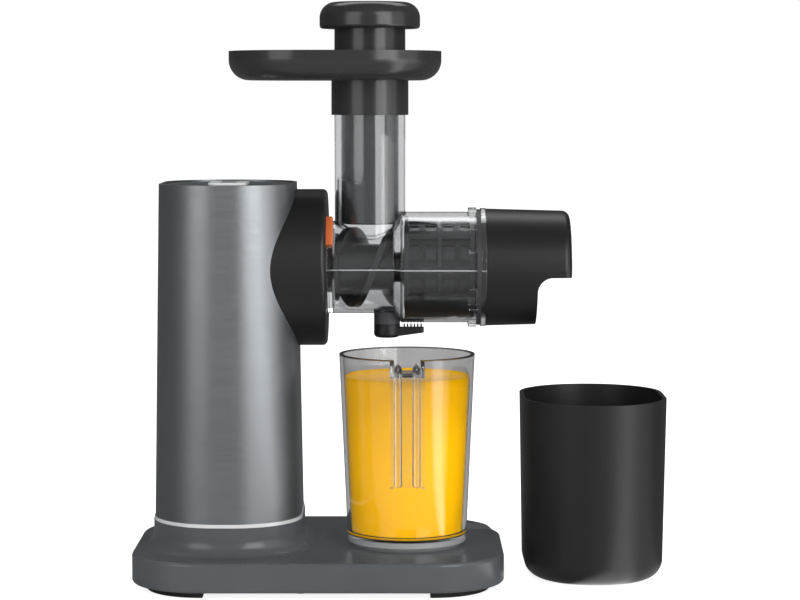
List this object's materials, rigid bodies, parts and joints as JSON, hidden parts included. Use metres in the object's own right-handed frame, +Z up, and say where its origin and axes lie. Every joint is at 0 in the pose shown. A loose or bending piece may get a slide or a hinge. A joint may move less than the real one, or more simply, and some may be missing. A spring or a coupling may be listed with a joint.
{
  "type": "cold press juicer",
  "caption": "Horizontal slow juicer: tower with geared motor on a base, clear auger drum with chute, tray and pusher, juice jug and separate pulp container.",
  "frame": {"origin": "on the counter, under the middle of the whole set's outline, with the pulp container in its place beside the base", "axes": "+X from the tower towards the pulp container along the auger, +Y towards the back, +Z up"},
  "size_m": [0.3442, 0.178, 0.3729],
  "materials": {
    "base_plastic": "fine matte texture, dark grey",
    "tower_metal": "brushed, slate grey",
    "trim_metal": "polished",
    "hub_plastic": "satin black",
    "orange_plastic": "satin orange",
    "clear_plastic": "clear, slightly smoky",
    "jug_clear": "clear",
    "black_plastic": "satin black",
    "container_plastic": "fine matte black",
    "tray_plastic": "satin dark grey",
    "white_plastic": "satin white",
    "button_plastic": "matte grey",
    "auger_plastic": "satin dark grey",
    "steel": "machined",
    "fine_steel": "etched strainer sheet",
    "cast_metal": "as cast",
    "bronze": "sintered",
    "magnet": "ferrite",
    "rubber": "matte",
    "silicone": "satin",
    "board": "solder-masked"
  },
  "bodies": {
    "base": {"base_housing": "base_plastic", "bottom_cover": "base_plastic", "base_screws": "steel", "base_feet": "rubber", "cord_grommet": "rubber", "trim_ring": "trim_metal", "tower_sleeve": "tower_metal", "top_panel": "base_plastic", "button_bezel": "white_plastic", "control_board": "board", "button_switches": "black_plastic", "drive_hub": "hub_plastic", "shaft_seal": "silicone", "output_bearing": "steel", "middle_axle": "steel", "gearbox_case": "cast_metal", "gearbox_cover": "cast_metal", "gearbox_screws": "steel", "rear_bush": "bronze", "motor_can": "steel", "motor_end_frame": "cast_metal", "motor_bushes": "bronze", "motor_magnets": "magnet", "motor_brushes": "magnet", "motor_cradle": "base_plastic"},
    "drive": {"output_gear": "steel", "drive_shaft": "steel", "auger": "auger_plastic"},
    "middle_gear": {"middle_gear": "steel"},
    "motor_rotor": {"rotor_core": "steel", "commutator": "bronze", "motor_shaft": "steel", "motor_pinion": "steel"},
    "drum": {"juicer_drum": "clear_plastic", "rear_seal": "silicone", "drum_gasket": "silicone", "spout_seal": "silicone", "filter_cage": "auger_plastic", "filter_mesh": "fine_steel"},
    "end_cap": {"end_cap": "black_plastic", "end_bush": "auger_plastic"},
    "drip_stop": {"drip_stop": "black_plastic"},
    "feed_tray": {"feed_tray": "tray_plastic"},
    "food_pusher": {"pusher_stem": "tray_plastic", "pusher_cap": "tray_plastic"},
    "start_button": {"start_button": "button_plastic"},
    "reverse_button": {"reverse_button": "button_plastic"},
    "release_button": {"release_button": "orange_plastic"},
    "juice_jug": {"juice_jug": "jug_clear"},
    "pulp_container": {"pulp_container": "container_plastic"}
  },
  "joints": [
    {"name": "drive_spin", "type": "hinge", "parent": "base", "child": "drive", "pos_m": [-0.04805, 0, 0.2019], "axis": [1, 0, 0], "continuous": true},
    {"name": "middle_gear_spin", "type": "hinge", "parent": "base", "child": "middle_gear", "pos_m": [-0.10805, 0.0042, 0.1571], "axis": [1, 0, 0], "continuous": true},
    {"name": "motor_spin", "type": "hinge", "parent": "base", "child": "motor_rotor", "pos_m": [-0.13305, 0, 0.11229], "axis": [1, 0, 0], "continuous": true},
    {"name": "drum_twist", "type": "hinge", "parent": "base", "child": "drum", "pos_m": [-0.04805, 0, 0.2019], "axis": [-1, 0, 0], "range_deg": [0, 40]},
    {"name": "cap_twist", "type": "hinge", "parent": "drum", "child": "end_cap", "pos_m": [0.05425, 0, 0.2019], "axis": [1, 0, 0], "range_deg": [0, 30]},
    {"name": "drip_stop_turn", "type": "hinge", "parent": "drum", "child": "drip_stop", "pos_m": [-0.00945, 0, 0.1592], "axis": [0, 0, -1], "range_deg": [0, 90]},
    {"name": "tray_lift", "type": "slide", "parent": "drum", "child": "feed_tray", "axis": [0, 0, 1], "range_m": [0, 0.06]},
    {"name": "pusher_lift", "type": "slide", "parent": "feed_tray", "child": "food_pusher", "axis": [0, 0, 1], "range_m": [0, 0.105]},
    {"name": "start_press", "type": "slide", "parent": "base", "child": "start_button", "axis": [0, 0, -1], "range_m": [0, 0.0015], "stiffness_N_per_m": 600, "springref_m": -0.001},
    {"name": "reverse_press", "type": "slide", "parent": "base", "child": "reverse_button", "axis": [0, 0, -1], "range_m": [0, 0.0015], "stiffness_N_per_m": 600, "springref_m": -0.001},
    {"name": "release_press", "type": "slide", "parent": "base", "child": "release_button", "axis": [-1, 0, 0], "range_m": [0, 0.003], "stiffness_N_per_m": 500, "springref_m": -0.002},
    {"name": "jug_pull", "type": "slide", "parent": "base", "child": "juice_jug", "axis": [0, -0.9903, 0.1392], "range_m": [0, 0.12]},
    {"name": "container_pull", "type": "slide", "parent": "base", "child": "pulp_container", "axis": [1, 0, 0], "range_m": [0, 0.1]}
  ],
  "couplings": [
    {"joint": "middle_gear_spin", "follows": "drive_spin", "ratio": -5},
    {"joint": "motor_spin", "follows": "drive_spin", "ratio": 25}
  ]
}
